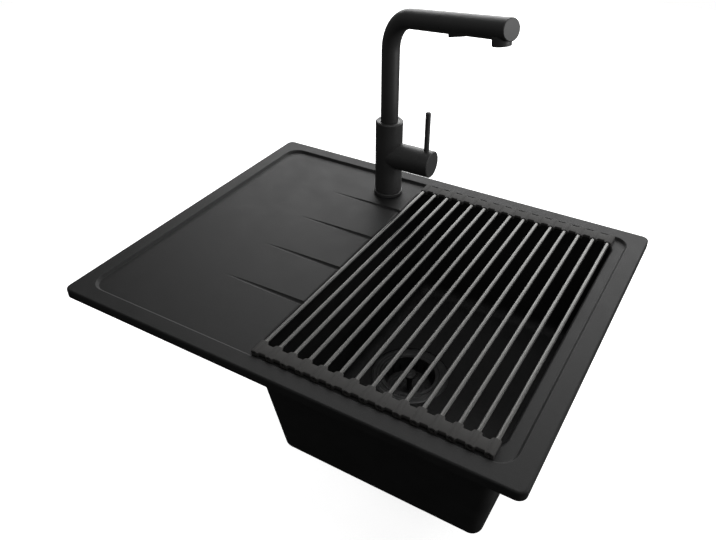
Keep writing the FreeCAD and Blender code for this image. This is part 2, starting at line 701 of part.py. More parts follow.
def swivel_bush():
    """Plastic bearing bush for the spout, pressed into the body."""
    top = BODY_TOP_Z - BUSH_TOP_GAP
    return at_tap(tube(BUSH_R, TUBE_R + RUNNING_FIT, top - BUSH_LENGTH, top))


def dock_collar():
    """Plastic collar in the mouth of the arm that centres the docked spray head."""
    collar = Part.makeCylinder(TUBE_R - TUBE_WALL, DOCK_LENGTH, V(SEAM_T - DOCK_LENGTH, 0, 0), X_AXIS)
    bore = Part.makeCylinder(SPIGOT_R + RUNNING_FIT, DOCK_LENGTH, V(SEAM_T - DOCK_LENGTH, 0, 0), X_AXIS)
    return in_arm(collar.cut(bore))


# ---------------------------------------------------------------- spray head

def head_start():
    """Rear face of the spray head, along the arm."""
    return SEAM_T + SEAM_GAP


def nozzle_t():
    """Place of the nozzle's axis along the arm."""
    return ARM_LENGTH - NOZZLE_FROM_END


def button_span():
    """Rear and front end of the spray button along the arm."""
    rear = head_start() + BUTTON_FROM_SEAM
    return rear, rear + BUTTON_LENGTH


def head_shell():
    """Tubular shell of the spray head with a closed end."""
    start = head_start()
    inner_r = TUBE_R - HEAD_WALL
    shell = revolve_profile([(start, inner_r), (start, TUBE_R), (ARM_LENGTH - HEAD_CHAMFER, TUBE_R),
                             (ARM_LENGTH, TUBE_R - HEAD_CHAMFER), (ARM_LENGTH, 0),
                             (ARM_LENGTH - HEAD_CAP, 0), (ARM_LENGTH - HEAD_CAP, inner_r)], "X")
    nozzle_hole = Part.makeCylinder(NOZZLE_R, TUBE_R * 2, V(nozzle_t(), 0, -TUBE_R * 2))
    rear, front = button_span()
    slot = Part.makeBox(front - rear + 2 * BUTTON_GAP, BUTTON_WIDTH + 2 * BUTTON_GAP, TUBE_R,
                        V(rear - BUTTON_GAP, -BUTTON_WIDTH / 2 - BUTTON_GAP, -TUBE_R * 1.5))
    return in_arm(shell.cut([nozzle_hole, slot]))


def head_spigot():
    """Rear plug of the head, with the spigot that docks in the arm and takes the hose."""
    start = head_start()
    points = [(start - SPIGOT_LENGTH, WATERWAY_R), (start - SPIGOT_LENGTH, SPIGOT_R - 1.5),
              (start - SPIGOT_LENGTH + 1.5, SPIGOT_R), (start, SPIGOT_R),
              (start, TUBE_R - HEAD_WALL), (start + SPIGOT_FLANGE, TUBE_R - HEAD_WALL),
              (start + SPIGOT_FLANGE, WATERWAY_R)]
    return in_arm(revolve_profile(points, "X"))


def spray_hose():
    """First straight stretch of the pull-out hose, with its end fitting."""
    end = head_start() - SPIGOT_LENGTH
    start = bend_tangent() + 1
    fitting = end - HOSE_FITTING_LENGTH
    points = [(start, WATERWAY_R), (start, HOSE_R), (fitting - 2, HOSE_R), (fitting, HOSE_FITTING_R),
              (end, HOSE_FITTING_R), (end, WATERWAY_R)]
    return in_arm(revolve_profile(points, "X"))


def nozzle_ring():
    """Nozzle ring that holds the spray face."""
    inner_r = SPRAY_FACE_R
    ring = tube(NOZZLE_R, inner_r, -NOZZLE_DROP, -NOZZLE_INSIDE)
    lower = [e for e in edges_at(ring, -NOZZLE_DROP) if e.BoundBox.XMax > NOZZLE_R - 0.01]
    ring = ring.makeChamfer(HEAD_CHAMFER / 2, lower)
    return in_arm(moved(ring, nozzle_t(), 0, 0))


def spray_face():
    """Spray face with its jets, pressed into the nozzle ring."""
    bottom = -NOZZLE_DROP + SPRAY_FACE_INSET
    face = Part.makeCylinder(SPRAY_FACE_R, SPRAY_FACE_THICK, V(0, 0, bottom))
    jet = Part.makeCylinder(SPRAY_HOLE_R, SPRAY_FACE_THICK, V(SPRAY_FACE_R * 0.68, 0, bottom))
    middle = Part.makeCylinder(SPRAY_FACE_R * 0.3, SPRAY_FACE_THICK / 2, V(0, 0, bottom))
    face = face.cut(ring_of(jet, SPRAY_HOLES)).cut(middle)
    return in_arm(moved(face, nozzle_t(), 0, 0))


def spray_button():
    """Rocking button under the head, proud at its rear end, with lips that lie inside the shell."""
    rear, front = button_span()
    inner_r = TUBE_R - HEAD_WALL
    inner = -inner_r + BUTTON_THICK
    corners = [V(rear, 0, inner), V(front, 0, inner), V(front, 0, -TUBE_R + 0.4),
               V(rear, 0, -TUBE_R - BUTTON_PROUD), V(rear, 0, inner)]
    wedge = Part.Face(Part.makePolygon(corners)).extrude(V(0, BUTTON_WIDTH, 0))
    wedge = moved(wedge, 0, -BUTTON_WIDTH / 2, 0)
    length = front - rear + 2 * BUTTON_LIP
    plate = Part.makeCylinder(inner_r, length, V(rear - BUTTON_LIP, 0, 0), X_AXIS)
    above = Part.makeBox(length, 2 * TUBE_R, 2 * TUBE_R, V(rear - BUTTON_LIP, -TUBE_R, inner))
    return in_arm(wedge.fuse(plate.cut(above)).removeSplitter())


# ---------------------------------------------------------------- side valve

def cartridge_housing():
    """Fixed housing of the ceramic cartridge, with its neck."""
    chamber = VALVE_SEAT + CARTRIDGE_BASE
    points = [(VALVE_SEAT, 0), (VALVE_SEAT, CARTRIDGE_R), (CARTRIDGE_SHOULDER, CARTRIDGE_R),
              (CARTRIDGE_SHOULDER, CARTRIDGE_NECK_R), (CARTRIDGE_END, CARTRIDGE_NECK_R),
              (CARTRIDGE_END, GUIDE_R + FIT_GAP), (chamber + CHAMBER_DEPTH, GUIDE_R + FIT_GAP),
              (chamber + CHAMBER_DEPTH, CHAMBER_R), (chamber, CHAMBER_R), (chamber, 0)]
    housing = revolve_profile(points, "X")
    return at_valve(housing.cut(valve_ports(VALVE_SEAT, CARTRIDGE_BASE)))


def valve_ports(start, length):
    """Two inlet ports and the outlet port, along the valve's axis."""
    places = [(-CROSS_Y, -CROSS_DROP), (CROSS_Y, -CROSS_DROP), (0, CROSS_RISE)]
    return [Part.makeCylinder(PORT_R, length, V(start, y, z), X_AXIS) for y, z in places]


def fixed_disc():
    """Fixed ceramic disc with the three ports."""
    start = VALVE_SEAT + CARTRIDGE_BASE
    disc = Part.makeCylinder(FIXED_DISC_R, DISC_THICK, V(start, 0, 0), X_AXIS)
    return at_valve(disc.cut(valve_ports(start, DISC_THICK)))


def moving_disc():
    """Sliding ceramic disc with the pocket for the stem's tip."""
    start = VALVE_SEAT + CARTRIDGE_BASE + DISC_THICK
    disc = Part.makeCylinder(MOVING_DISC_R, MOVING_DISC_THICK, V(start, 0, 0), X_AXIS)
    pocket_start = start + MOVING_DISC_THICK - TIP_POCKET_DEPTH
    pocket = Part.makeCylinder(TIP_POCKET_R, TIP_POCKET_DEPTH, V(pocket_start, 0, 0), X_AXIS)
    return at_valve(disc.cut(pocket))


def cartridge_guide():
    """Turning guide that carries the stem on its pivot pin."""
    start = VALVE_SEAT + CARTRIDGE_BASE + CHAMBER_DEPTH
    guide = Part.makeCylinder(GUIDE_R, CARTRIDGE_END + 1.5 - start, V(start, 0, 0), X_AXIS)
    slot_start = start + 2.0
    slot = Part.makeBox(CARTRIDGE_END, 2 * (STEM_R + FIT_GAP * 2), 2 * STEM_R + GUIDE_SLOT_ROOM,
                        V(slot_start, -STEM_R - FIT_GAP * 2, -STEM_R - 4.0))
    window = Part.makeBox(CARTRIDGE_END, 2 * TIP_POCKET_R, 2 * TIP_POCKET_R + 3.4,
                          V(start - 1, -TIP_POCKET_R, -TIP_POCKET_R))
    pin_hole = Part.makeCylinder(PIVOT_PIN_R, GUIDE_R * 2, V(VALVE_PIVOT, -GUIDE_R, 0), Y_AXIS)
    return at_valve(guide.cut([slot, window, pin_hole]))


def cartridge_pin():
    """Pivot pin of the stem, held in the guide."""
    length = 2 * math.sqrt(GUIDE_R ** 2 - PIVOT_PIN_R ** 2) - 0.2
    return at_valve(Part.makeCylinder(PIVOT_PIN_R, length, V(VALVE_PIVOT, -length / 2, 0), Y_AXIS))


def cartridge_stem():
    """Stem that the lever tilts, with a thin tip that moves the disc."""
    shaft = Part.makeCylinder(STEM_R, STEM_END - VALVE_PIVOT + 3, V(VALVE_PIVOT - 3, 0, 0), X_AXIS)
    tip = Part.makeCylinder(STEM_TIP_R, STEM_TIP_REACH, V(VALVE_PIVOT - STEM_TIP_REACH, 0, 0), X_AXIS)
    pin_hole = Part.makeCylinder(PIVOT_PIN_R + RUNNING_FIT, STEM_R * 3, V(VALVE_PIVOT, -STEM_R * 1.5, 0), Y_AXIS)
    return at_valve(shaft.fuse(tip).cut(pin_hole).removeSplitter())


def dome_radius():
    """Radius of the dome, centred on the stem's pivot, that meets the barrel's edge."""
    return math.hypot(BARREL_END + DOME_FLANGE - VALVE_PIVOT, BARREL_R)


def dome_nut():
    """Threaded nut that clamps the cartridge, with the dome that the hub tilts over."""
    flange_end = BARREL_END + DOME_FLANGE
    hole_r = CARTRIDGE_NECK_R + FIT_GAP
    pivot = V(VALVE_PIVOT, 0, 0)
    thread = Part.makeCylinder(NUT_THREAD_R, BARREL_END - NUT_START, V(NUT_START, 0, 0), X_AXIS)
    flange = Part.makeCylinder(BARREL_R, DOME_FLANGE, V(BARREL_END, 0, 0), X_AXIS)
    beyond = Part.makeCylinder(BARREL_R, BARREL_R * 2, V(flange_end, 0, 0), X_AXIS)
    dome = Part.makeSphere(dome_radius(), pivot).common(beyond)
    nut = thread.fuse([flange, dome])
    rear_bore = Part.makeCylinder(CARTRIDGE_R + FIT_GAP, CARTRIDGE_SHOULDER - NUT_START,
                                  V(NUT_START, 0, 0), X_AXIS)
    neck_bore = Part.makeCylinder(hole_r, BARREL_R * 2, V(CARTRIDGE_SHOULDER, 0, 0), X_AXIS)
    neck_bore = neck_bore.common(Part.makeSphere(dome_radius() - DOME_WALL, pivot))
    space_r = NUT_THREAD_R - DOME_WALL
    space = Part.makeCylinder(space_r, BARREL_R * 2, V(CARTRIDGE_SHOULDER + 2.5, 0, 0), X_AXIS)
    space = space.common(Part.makeSphere(dome_radius() - DOME_WALL, pivot))
    window = Part.makeCylinder(DOME_WINDOW_R, BARREL_R * 2, V(VALVE_PIVOT, 0, -DOME_WINDOW_DROP), X_AXIS)
    window = window.cut(Part.makeCylinder(BARREL_R, BARREL_END - VALVE_PIVOT, pivot, X_AXIS))
    return at_valve(nut.cut([rear_bore, neck_bore, space, window]).removeSplitter())


def lever_hub():
    """End hub of the lever, hollowed to ride over the dome."""
    cylinder = Part.makeCylinder(BARREL_R, HUB_END - BARREL_END, V(BARREL_END, 0, 0), X_AXIS)
    front = [e for e in cylinder.Edges if abs(e.BoundBox.XMin - HUB_END) < 1e-4]
    cylinder = cylinder.makeChamfer(HUB_CHAMFER, front)
    hollow = Part.makeSphere(dome_radius() + DOME_GAP, V(VALVE_PIVOT, 0, 0))
    socket = Part.makeCylinder(STEM_R, STEM_END - BARREL_END, V(BARREL_END, 0, 0), X_AXIS)
    rod_seat = Part.makeCylinder(LEVER_ROD_R, BARREL_R, V(ROD_T, 0, BARREL_R - LEVER_ROD_SINK))
    thread = Part.makeCylinder(LEVER_SPIGOT_R, LEVER_SPIGOT_LENGTH + LEVER_ROD_SINK,
                               V(ROD_T, 0, BARREL_R - LEVER_ROD_SINK - LEVER_SPIGOT_LENGTH))
    grub = Part.makeCylinder(GRUB_R, BARREL_R, V(GRUB_T, 0, -BARREL_R * 1.1))
    return at_valve(cylinder.cut([hollow, socket, rod_seat, thread, grub]))


def lever_rod():
    """Lever rod with a round top and a threaded spigot."""
    bottom = BARREL_R - LEVER_ROD_SINK
    rod = Part.makeCylinder(LEVER_ROD_R, LEVER_ROD_LENGTH + LEVER_ROD_SINK, V(ROD_T, 0, bottom))
    rod = rod.makeFillet(LEVER_ROD_R * 0.6, edges_at(rod, BARREL_R + LEVER_ROD_LENGTH))
    spigot = Part.makeCylinder(LEVER_SPIGOT_R, LEVER_SPIGOT_LENGTH, V(ROD_T, 0, bottom - LEVER_SPIGOT_LENGTH))
    return at_valve(rod.fuse(spigot).removeSplitter())


# ---------------------------------------------------------------- roll-up mat

def rod_x(number):
    """Place of a rod, counted from 1 at the left."""
    return BOWL_OFFSET_X + (number - (MAT_RODS + 1) / 2) * ROD_PITCH


def mat_rod(number):
    """One steel rod, its ends inside the silicone."""
    length = 2 * (MAT_HALF - ROD_INSET)
    centre_z = RECESS_Z + GRIP_HEIGHT / 2
    return Part.makeCylinder(ROD_R, length, V(rod_x(number), -length / 2, centre_z), Y_AXIS)


def grip_profile(centre_x, y):
    """Cross-section of the silicone round one rod: flat below, arched above."""
    half = GRIP_LENGTH / 2
    shoulder = RECESS_Z + GRIP_SHOULDER
    left = V(centre_x - half, y, RECESS_Z)
    right = V(centre_x + half, y, RECESS_Z)
    left_top = V(centre_x - half, y, shoulder)
    right_top = V(centre_x + half, y, shoulder)
    crown = V(centre_x, y, RECESS_Z + GRIP_HEIGHT)
    arch = Part.Arc(right_top, crown, left_top).toShape()
    lines = [Part.LineSegment(left, right).toShape(), Part.LineSegment(right, right_top).toShape(),
             arch, Part.LineSegment(left_top, left).toShape()]
    return Part.Face(Part.Wire(lines))


def grip_pair(number):
    """The two silicone ends of one rod, each with half a web towards its neighbours."""
    centre_x = rod_x(number)
    solids = []
    for side in (-1, 1):
        outer = side * MAT_HALF
        boss = grip_profile(centre_x, outer).extrude(V(0, -side * GRIP_WIDTH, 0))
        web_width = GRIP_WIDTH - WEB_INSET_OUTER - WEB_INSET_INNER
        web_start = min(outer - side * WEB_INSET_OUTER, outer - side * (WEB_INSET_OUTER + web_width))
        web_left = 0 if number == 1 else ROD_PITCH / 2 - ROLL_GAP / 2
        web_right = 0 if number == MAT_RODS else ROD_PITCH / 2 - ROLL_GAP / 2
        web_bottom = RECESS_Z + WEB_TOP - WEB_THICK
        web = Part.makeBox(web_left + web_right, web_width, WEB_THICK,
                           V(centre_x - web_left, web_start, web_bottom))
        bore = Part.makeCylinder(ROD_R, MAT_HALF * 2, V(centre_x, -MAT_HALF, RECESS_Z + GRIP_HEIGHT / 2),
                                 Y_AXIS)
        solids.append(boss.fuse(web).cut(bore).removeSplitter())
    return solids


def mat_flat_grips():
    """The silicone strips of the rods that stay flat, each strip in one piece."""
    strips = [[], []]
    for number in range(1, MAT_FLAT_RODS + 1):
        front, back = grip_pair(number)
        strips[0].append(front)
        strips[1].append(back)
    joined = []
    for strip in strips:
        front = strip[0].BoundBox.YMin < 0
        inset = WEB_INSET_OUTER if front else WEB_INSET_INNER
        web_y = strip[0].BoundBox.YMin + inset
        web_width = GRIP_WIDTH - WEB_INSET_OUTER - WEB_INSET_INNER
        web = Part.makeBox((MAT_FLAT_RODS - 1) * ROD_PITCH, web_width, WEB_THICK,
                           V(rod_x(1), web_y, RECESS_Z + WEB_TOP - WEB_THICK))
        for number in range(1, MAT_FLAT_RODS + 1):
            web = web.cut(mat_rod(number))
        joined.append(strip[0].fuse(strip[1:] + [web]).removeSplitter())
    return Part.makeCompound(joined)


# ---------------------------------------------------------------- write the sub-parts

os.makedirs("parts", exist_ok=True)

export("sink_body", sink_body())
export("waste_flange", waste_flange())
export("waste_seals", waste_seals())
export("waste_pot", waste_pot())
export("waste_bolt", waste_bolt())
export("basket", basket())
export("basket_stopper", basket_stopper())
export("tap_base_seal", tap_base_seal())
export("tap_base_ring", tap_base_ring())
export("tap_shank", tap_shank())
export("shank_washer_rubber", horseshoe(RUBBER_THICK, UNDER_RELIEF))
export("shank_washer_steel", horseshoe(STEEL_THICK, UNDER_RELIEF - RUBBER_THICK))
export("shank_nut", shank_nut())
export("tap_body", tap_body())
export("swivel_bush", swivel_bush())
export("spout_tube", spout_tube())
export("swivel_o_rings", swivel_o_rings())
export("spout_clip", spout_clip())
export("dock_collar", dock_collar())
export("head_shell", head_shell())
export("head_spigot", head_spigot())
export("spray_hose", spray_hose())
export("nozzle_ring", nozzle_ring())
export("spray_face", spray_face())
export("spray_button", spray_button())
export("cartridge_housing", cartridge_housing())
export("fixed_disc", fixed_disc())
export("moving_disc", moving_disc())
export("cartridge_guide", cartridge_guide())
export("cartridge_pin", cartridge_pin())
export("cartridge_stem", cartridge_stem())
export("dome_nut", dome_nut())
export("lever_hub", lever_hub())
export("lever_rod", lever_rod())
for rod_number in range(1, MAT_RODS + 1):
    export("mat_rod_%02d" % rod_number, mat_rod(rod_number))
export("mat_grips_flat", mat_flat_grips())
for grip_number in range(MAT_FLAT_RODS + 1, MAT_RODS + 1):
    export("mat_grips_%02d" % grip_number, Part.makeCompound(grip_pair(grip_number)))
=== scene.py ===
import math

import bmesh
import bpy
from mathutils import Matrix, Vector


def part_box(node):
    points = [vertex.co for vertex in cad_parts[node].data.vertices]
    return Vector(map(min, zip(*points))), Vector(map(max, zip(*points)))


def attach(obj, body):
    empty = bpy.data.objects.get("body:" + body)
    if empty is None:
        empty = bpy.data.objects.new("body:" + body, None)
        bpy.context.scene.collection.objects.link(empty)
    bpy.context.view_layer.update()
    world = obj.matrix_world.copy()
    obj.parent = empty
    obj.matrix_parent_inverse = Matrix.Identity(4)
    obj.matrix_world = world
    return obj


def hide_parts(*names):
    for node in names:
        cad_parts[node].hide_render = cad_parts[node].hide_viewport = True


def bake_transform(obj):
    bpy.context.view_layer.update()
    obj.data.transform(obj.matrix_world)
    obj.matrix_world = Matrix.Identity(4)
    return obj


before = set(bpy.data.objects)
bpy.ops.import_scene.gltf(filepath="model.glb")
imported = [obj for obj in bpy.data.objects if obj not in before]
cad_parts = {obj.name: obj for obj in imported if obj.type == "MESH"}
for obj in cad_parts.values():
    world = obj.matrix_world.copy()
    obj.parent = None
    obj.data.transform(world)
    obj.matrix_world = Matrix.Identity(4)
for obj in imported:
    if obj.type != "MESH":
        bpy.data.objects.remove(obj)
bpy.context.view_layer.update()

# ---------------------------------------------------------------- studio
# A wide pale floor under the sink and soft panels behind, above, beside and in front of it, as in a product
# photograph. The surround is white to the eye and dim as a light, so that the black surfaces keep their
# depth. The camera stands at the front right corner, above the deck, and looks down over the bowl.
FLOOR_Z = -0.2525
FLOOR_SIDE = 2.4
FLOOR_FRONT = -2.2
FLOOR_BACK = 2.5
FLOOR_COLOUR = (0.9, 0.9, 0.9, 1.0)
FLOOR_BOUNCE = (0.06, 0.06, 0.06, 1.0)
FLOOR_GLOW = 0.72
WHITE = (1.0, 1.0, 1.0, 1.0)
SURROUND_LIGHT = 0.17
SURROUND_MIRRORED = 0.12
CAMERA_PLACE = (0.387592, -0.666836, 0.556844)
CAMERA_YAW = -0.536
CAMERA_PITCH = -0.627
CAMERA_ROLL = -0.003
CAMERA_LENS = 35.317
CAMERA_SHIFT = -0.0102


def feed(tree, node, inputs):
    """Set a node's inputs, each one to a value or to another node's output."""
    for key, value in inputs.items():
        if isinstance(value, bpy.types.NodeSocket):
            tree.links.new(value, node.inputs[key])
        else:
            node.inputs[key].default_value = value
    return node


def add(tree, kind, inputs=None, **settings):
    """A new node with its settings and inputs."""
    node = tree.nodes.new(kind)
    for key, value in settings.items():
        setattr(node, key, value)
    return feed(tree, node, inputs or {})


def studio_world():
    """The surround: white to the camera, dim as a light and in what mirrors it."""
    world = bpy.data.worlds.new("surround")
    world.use_nodes = True
    tree = world.node_tree
    ray = add(tree, "ShaderNodeLightPath").outputs
    white = add(tree, "ShaderNodeBackground", {"Color": WHITE})
    mirrored = add(tree, "ShaderNodeBackground", {"Color": WHITE, "Strength": SURROUND_MIRRORED})
    dim = feed(tree, tree.nodes["Background"], {"Color": WHITE, "Strength": SURROUND_LIGHT})
    unseen = add(tree, "ShaderNodeMixShader",
                 {0: ray["Is Glossy Ray"], 1: dim.outputs[0], 2: mirrored.outputs[0]})
    whole = add(tree, "ShaderNodeMixShader",
                {0: ray["Is Camera Ray"], 1: unseen.outputs[0], 2: white.outputs[0]})
    feed(tree, tree.nodes["World Output"], {"Surface": whole.outputs[0]})
    bpy.context.scene.world = world
    bpy.context.scene.view_settings.view_transform = "Standard"


def pale_floor():
    """The floor's finish: pale to the camera, dull as a reflector and clear from below."""
    material = bpy.data.materials.new("pale_floor")
    material.use_nodes = True
    tree = material.node_tree
    tree.nodes.remove(tree.nodes["Principled BSDF"])
    ray = add(tree, "ShaderNodeLightPath").outputs
    side = add(tree, "ShaderNodeNewGeometry").outputs
    pale = add(tree, "ShaderNodeBsdfDiffuse", {"Color": FLOOR_COLOUR})
    glow = add(tree, "ShaderNodeEmission", {"Strength": FLOOR_GLOW})
    shown = add(tree, "ShaderNodeAddShader", {0: pale.outputs[0], 1: glow.outputs[0]})
    dull = add(tree, "ShaderNodeBsdfDiffuse", {"Color": FLOOR_BOUNCE})
    from_above = add(tree, "ShaderNodeMixShader",
                     {0: ray["Is Camera Ray"], 1: dull.outputs[0], 2: shown.outputs[0]})
    clear = add(tree, "ShaderNodeBsdfTransparent")
    whole = add(tree, "ShaderNodeMixShader",
                {0: side["Backfacing"], 1: from_above.outputs[0], 2: clear.outputs[0]})
    feed(tree, tree.nodes["Material Output"], {"Surface": whole.outputs[0]})
    return material


def studio_floor():
    """One large flat face under the sink."""
    mesh = bpy.data.meshes.new("floor")
    corners = [(-FLOOR_SIDE, FLOOR_FRONT, FLOOR_Z), (FLOOR_SIDE, FLOOR_FRONT, FLOOR_Z),
               (FLOOR_SIDE, FLOOR_BACK, FLOOR_Z), (-FLOOR_SIDE, FLOOR_BACK, FLOOR_Z)]
    mesh.from_pydata(corners, [], [(0, 1, 2, 3)])
    mesh.materials.append(pale_floor())
    floor = bpy.data.objects.new("floor", mesh)
    bpy.context.scene.collection.objects.link(floor)


def studio_panel(name, place, target, size, energy):
    """A soft lamp that faces its target and that the camera doesn't see."""
    lamp = bpy.data.lights.new(name, "AREA")
    lamp.shape = "RECTANGLE"
    lamp.size, lamp.size_y = size
    lamp.energy = energy
    holder = bpy.data.objects.new(name, lamp)
    holder.location = place
    holder.rotation_euler = (Vector(target) - Vector(place)).to_track_quat("-Z", "Y").to_euler()
    holder.visible_camera = False
    bpy.context.scene.collection.objects.link(holder)


def studio_camera():
    """The camera, turned by its yaw, pitch and roll."""
    camera = bpy.data.cameras.new("camera")
    camera.sensor_width = 36.0
    camera.lens = CAMERA_LENS
    camera.shift_x = CAMERA_SHIFT
    camera.clip_start = 0.01
    camera.clip_end = 50.0
    holder = bpy.data.objects.new("camera", camera)
    level = Vector((math.sin(CAMERA_YAW), math.cos(CAMERA_YAW), 0.0))
    forward = level * math.cos(CAMERA_PITCH) + Vector((0.0, 0.0, math.sin(CAMERA_PITCH)))
    right = forward.cross(Vector((0, 0, 1))).normalized()
    up = right.cross(forward)
    across = right * math.cos(CAMERA_ROLL) + up * math.sin(CAMERA_ROLL)
    upward = up * math.cos(CAMERA_ROLL) - right * math.sin(CAMERA_ROLL)
    turn = Matrix((across, upward, -forward)).transposed()
    holder.matrix_world = Matrix.Translation(CAMERA_PLACE) @ turn.to_4x4()
    bpy.context.scene.collection.objects.link(holder)
    bpy.context.scene.camera = holder


studio_world()
studio_floor()
studio_panel("panel_behind", place=(-0.4, 2.7, 1.15), target=(0.0, 0.1, 0.0), size=(4.6, 1.4), energy=112.0)
studio_panel("panel_above", place=(0.4, 0.3, 2.2), target=(0.1, 0.0, 0.0), size=(2.0, 1.2), energy=19.0)
studio_panel("panel_right", place=(2.3, 0.55, 0.25), target=(0.0, 0.05, 0.2), size=(1.0, 1.0), energy=26.0)
studio_panel("panel_front", place=(0.9, -1.7, 1.8), target=(0.0, 0.0, 0.1), size=(2.0, 1.2), energy=8.0)
studio_camera()

# ---------------------------------------------------------------- granite sink
# The sink is one moulding of quartz sand in black resin, cast against a matt tool. Its skin is finely
# grained, with a faint mottle and small paler flecks of sand.


def new_material(name):
    """A material, its node tree, its main shader and the place on the object that its patterns read."""
    material = bpy.data.materials.new(name)
    material.use_nodes = True
    tree = material.node_tree
    place = add(tree, "ShaderNodeTexCoord").outputs["Object"]
    return material, tree, tree.nodes["Principled BSDF"], place


def ramp(tree, factor, stops):
    """A colour ramp with (position, grey value) stops."""
    node = add(tree, "ShaderNodeValToRGB", {"Fac": factor})
    while len(node.color_ramp.elements) < len(stops):
        node.color_ramp.elements.new(0.5)
    for element, (position, value) in zip(node.color_ramp.elements, stops):
        element.position = position
        element.color = (value, value, value, 1.0)
    return node.outputs["Color"]


def granite():
    """Black stone composite: mottled, with scattered flecks and a fine raised grain."""
    material, tree, shader, place = new_material("granite_black_finish")
    mottle = add(tree, "ShaderNodeTexNoise", {"Vector": place, "Scale": 38.0, "Detail": 5.0}).outputs["Fac"]
    grain = add(tree, "ShaderNodeTexVoronoi", {"Vector": place, "Scale": 1250.0}).outputs["Distance"]
    sand = add(tree, "ShaderNodeTexVoronoi", {"Vector": place, "Scale": 520.0}).outputs
    fine = add(tree, "ShaderNodeTexNoise", {"Vector": place, "Scale": 2600.0, "Detail": 2.0}).outputs["Fac"]
    resin = ramp(tree, mottle, [(0.3, 0.0085), (0.7, 0.0125)])
    speck = ramp(tree, sand["Distance"], [(0.03, 1.0), (0.11, 0.0)])
    draw = add(tree, "ShaderNodeSeparateColor", {"Color": sand["Color"]}).outputs[0]
    chosen = ramp(tree, draw, [(0.80, 0.0), (0.84, 1.0)])
    flecks = add(tree, "ShaderNodeMath", {0: speck, 1: chosen}, operation="MULTIPLY")
    base = add(tree, "ShaderNodeMix", {"Factor": flecks.outputs[0], "A": resin, "B": (0.05, 0.05, 0.052, 1)},
               data_type="RGBA")
    height = add(tree, "ShaderNodeMath", {0: grain, 1: fine}, operation="ADD")
    bump = add(tree, "ShaderNodeBump", {"Height": height.outputs[0], "Distance": 0.00012, "Strength": 0.45})
    feed(tree, shader, {"Base Color": base.outputs["Result"], "Specular IOR Level": 0.2,
                        "Roughness": ramp(tree, mottle, [(0.3, 0.54), (0.7, 0.60)]),
                        "Normal": bump.outputs["Normal"]})
    return material


def dress(node, material):
    """Give a CAD node its finish."""
    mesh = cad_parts[node].data
    mesh.materials.clear()
    mesh.materials.append(material)


dress("sink_body", granite())

# ---------------------------------------------------------------- basket waste
# A pressed steel flange with a dark coating lines the waste hole and forms the cup for the basket. One
# bolt through the cup's floor pulls it down on a rubber ring and clamps the moulded pot from below.
WASTE_CENTRING = (-0.068, 0.004, 0.0)


def coated_steel():
    """Dark coated steel with fine turning marks and soft pressed beads round the waste's middle."""
    material, tree, shader, place = new_material("dark_coated_steel")
    around = add(tree, "ShaderNodeMapping", {"Vector": place, "Location": WASTE_CENTRING}).outputs[0]
    rings = add(tree, "ShaderNodeTexWave", {"Vector": around, "Scale": 420.0, "Distortion": 1.5,
                                            "Detail": 2.0, "Detail Scale": 3.0},
                wave_type="RINGS", rings_direction="Z").outputs["Fac"]
    beads = add(tree, "ShaderNodeTexWave", {"Vector": around, "Scale": 70.0},
                wave_type="RINGS", rings_direction="Z").outputs["Fac"]
    cloud = add(tree, "ShaderNodeTexNoise", {"Vector": place, "Scale": 60.0, "Detail": 4.0}).outputs["Fac"]
    turned = add(tree, "ShaderNodeBump", {"Height": rings, "Distance": 0.00003, "Strength": 0.3})
    bump = add(tree, "ShaderNodeBump", {"Height": beads, "Normal": turned.outputs["Normal"],
                                        "Distance": 0.0004, "Strength": 0.5})
    feed(tree, shader, {"Base Color": ramp(tree, cloud, [(0.3, 0.042), (0.7, 0.062)]), "Metallic": 0.75,
                        "Roughness": ramp(tree, rings, [(0.0, 0.34), (1.0, 0.44)]),
                        "Normal": bump.outputs["Normal"]})
    return material


def shade(colour, share):
    """A colour made lighter or darker, with full cover."""
    return [share * channel for channel in colour] + [1.0]


def moulded(name, value, roughness, tint=(1.0, 1.0, 1.0), grain=900.0, specular=0.5):
    """Moulded plastic or rubber: nearly even colour, cloudy gloss and a fine tool grain."""
    material, tree, shader, place = new_material(name)
    cloud = add(tree, "ShaderNodeTexNoise", {"Vector": place, "Scale": 45.0, "Detail": 4.0}).outputs["Fac"]
    skin = add(tree, "ShaderNodeTexNoise", {"Vector": place, "Scale": grain, "Detail": 2.0}).outputs["Fac"]
    base = add(tree, "ShaderNodeMix", {"Factor": cloud, "A": shade(tint, value * 0.88),
                                       "B": shade(tint, value * 1.12)}, data_type="RGBA")
    bump = add(tree, "ShaderNodeBump", {"Height": skin, "Distance": 0.00006, "Strength": 0.35})
    rough = ramp(tree, cloud, [(0.25, roughness - 0.05), (0.75, roughness + 0.05)])
    feed(tree, shader, {"Base Color": base.outputs["Result"], "Roughness": rough,
                        "Specular IOR Level": specular, "Normal": bump.outputs["Normal"]})
    return material


waste_metal = coated_steel()
black_rubber = moulded("black_seal_rubber", 0.02, 0.62, grain=700.0)
pot_plastic = moulded("grey_white_pot_plastic", 0.62, 0.42, tint=(0.98, 0.99, 1.0), grain=500.0)
for waste_node in ("waste_flange", "basket"):
    dress(waste_node, waste_metal)
for rubber_node in ("waste_seals", "basket_stopper"):
    dress(rubber_node, black_rubber)
dress("waste_pot", pot_plastic)

# ---------------------------------------------------------------- fixing of the tap
# Under the deck a brass shank, threaded outside, is clamped by a rubber washer, a pressed steel washer
# and a six-sided nut, and a rubber seal lies on top. The metal is turned or stamped and left bare, and the
# bolt of the waste has the same finish as the steel washer.
MARKS_FINER = 60.0


